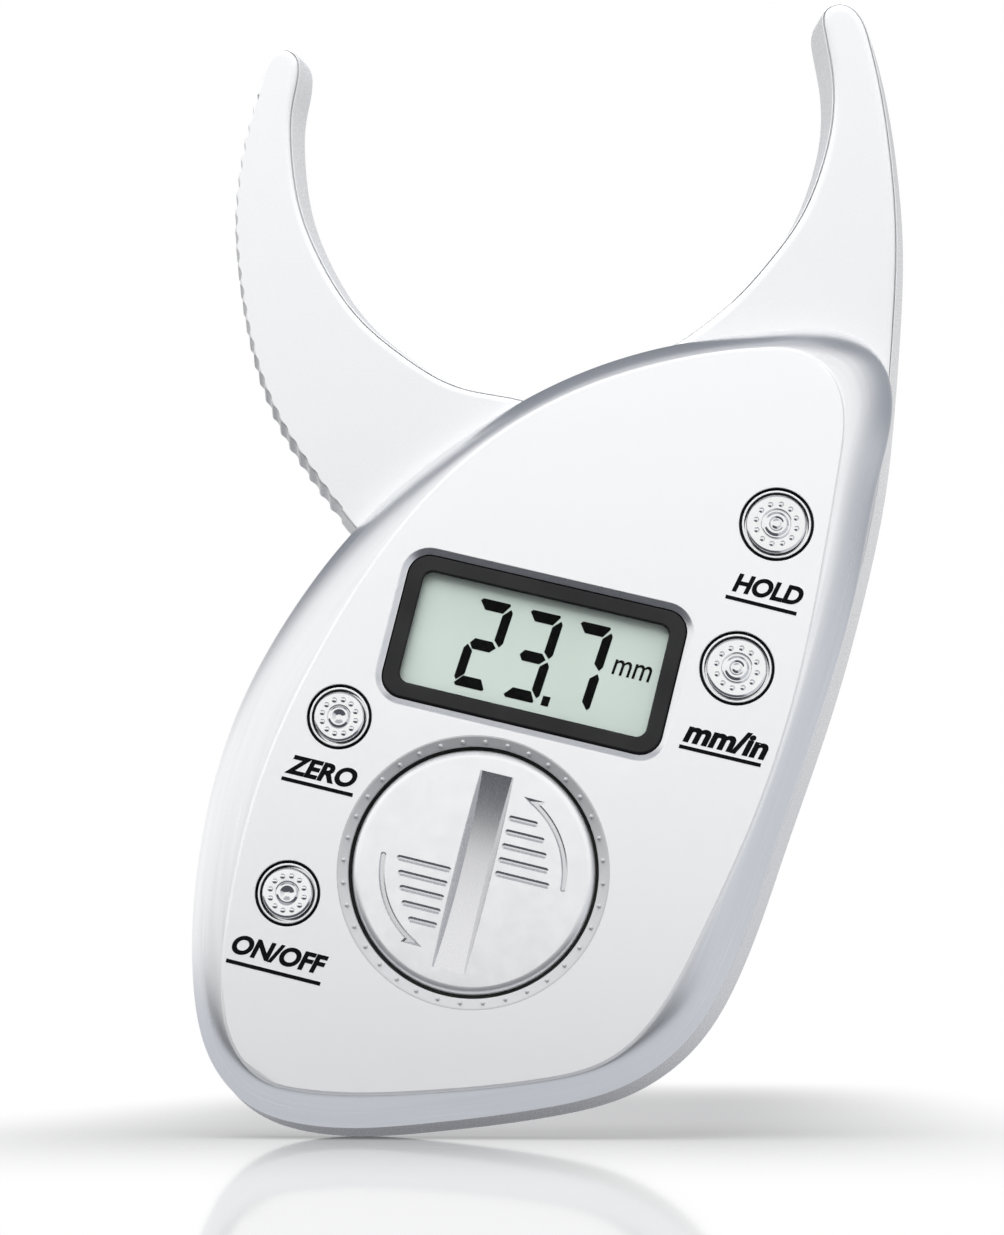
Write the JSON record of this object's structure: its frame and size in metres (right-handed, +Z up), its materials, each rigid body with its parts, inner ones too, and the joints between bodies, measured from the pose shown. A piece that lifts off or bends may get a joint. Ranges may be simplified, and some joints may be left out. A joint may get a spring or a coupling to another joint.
{
  "type": "skinfold caliper",
  "caption": "Hand-held digital skinfold caliper: a sprung thumb jaw closes on a fixed jaw, with a display, four buttons and a coin-slot battery cover on a teardrop body.",
  "frame": {"origin": "where the jaw pivot axis meets the flat back face of the housing", "axes": "+Z up with the caliper standing on its bottom edge, leaning 14 degrees to the right; +X right as the user sees the display; +Y away from the user, out of the back face"},
  "size_m": [0.1158, 0.0198, 0.1842],
  "materials": {
    "white_plastic": "polished white ABS",
    "silver_painted_plastic": "satin metallic silver paint on ABS",
    "pearl_plastic": "pearl silver-white paint on ABS",
    "black_plastic": "gloss black",
    "clear_window": "clear moulded window, polished",
    "lcd_glass": "reflective liquid-crystal panel, pale grey-green",
    "grey_plastic": "moulded, plain",
    "silicone_rubber": "conductive silicone",
    "board_laminate": "green solder mask",
    "black_epoxy": "epoxy drop",
    "tinned_metal": "tinned",
    "switch_plastic": "moulded",
    "copper_track": "copper track on laminate",
    "brass_bush": "turned",
    "plain_steel": "zinc plated",
    "spring_steel": "drawn wire and strip",
    "black_rubber": "moulded ring",
    "cell_steel": "nickel plated can",
    "plated_plastic": "chrome plate on ABS"
  },
  "bodies": {
    "housing": {"back_shell": "white_plastic", "front_cover": "silver_painted_plastic", "battery_tray": "silver_painted_plastic", "display_bezel": "black_plastic", "display_window": "clear_window", "lcd_panel": "lcd_glass", "lcd_holder": "grey_plastic", "lcd_connector_strips": "silicone_rubber", "circuit_board": "board_laminate", "controller_chip": "black_epoxy", "board_components": "tinned_metal", "tact_switches": "switch_plastic", "encoder_stator": "copper_track", "pivot_washer": "plain_steel", "pivot_screw": "plain_steel", "return_spring": "spring_steel", "housing_screws": "plain_steel", "board_screws": "plain_steel", "coin_cell": "cell_steel", "positive_contact": "spring_steel", "negative_contact": "spring_steel"},
    "jaw": {"moving_jaw": "white_plastic", "pivot_bush": "brass_bush", "encoder_rotor": "copper_track"},
    "battery_door": {"battery_cover": "pearl_plastic", "cover_seal": "black_rubber"},
    "hold_key": {"hold_button": "plated_plastic", "hold_plunger": "switch_plastic"},
    "units_key": {"units_button": "plated_plastic", "units_plunger": "switch_plastic"},
    "zero_key": {"zero_button": "plated_plastic", "zero_plunger": "switch_plastic"},
    "power_key": {"power_button": "plated_plastic", "power_plunger": "switch_plastic"}
  },
  "joints": [
    {"name": "jaw_pivot", "type": "hinge", "parent": "housing", "child": "jaw", "pos_m": [0, 0, 0], "axis": [0, 1, 0], "range_deg": [0, 38.8], "stiffness_Nm_per_rad": 0.03, "springref_deg": -28.65, "deforming": ["return_spring"]},
    {"name": "battery_cover_turn", "type": "hinge", "parent": "housing", "child": "battery_door", "pos_m": [-0.01956, 0, -0.01852], "axis": [0, -1, 0], "range_deg": [0, 60]},
    {"name": "hold_press", "type": "slide", "parent": "housing", "child": "hold_key", "axis": [0, 1, 0], "range_m": [0, 0.0005], "stiffness_N_per_m": 800},
    {"name": "units_press", "type": "slide", "parent": "housing", "child": "units_key", "axis": [0, 1, 0], "range_m": [0, 0.0005], "stiffness_N_per_m": 800},
    {"name": "zero_press", "type": "slide", "parent": "housing", "child": "zero_key", "axis": [0, 1, 0], "range_m": [0, 0.0005], "stiffness_N_per_m": 800},
    {"name": "power_press", "type": "slide", "parent": "housing", "child": "power_key", "axis": [0, 1, 0], "range_m": [0, 0.0005], "stiffness_N_per_m": 800}
  ]
}
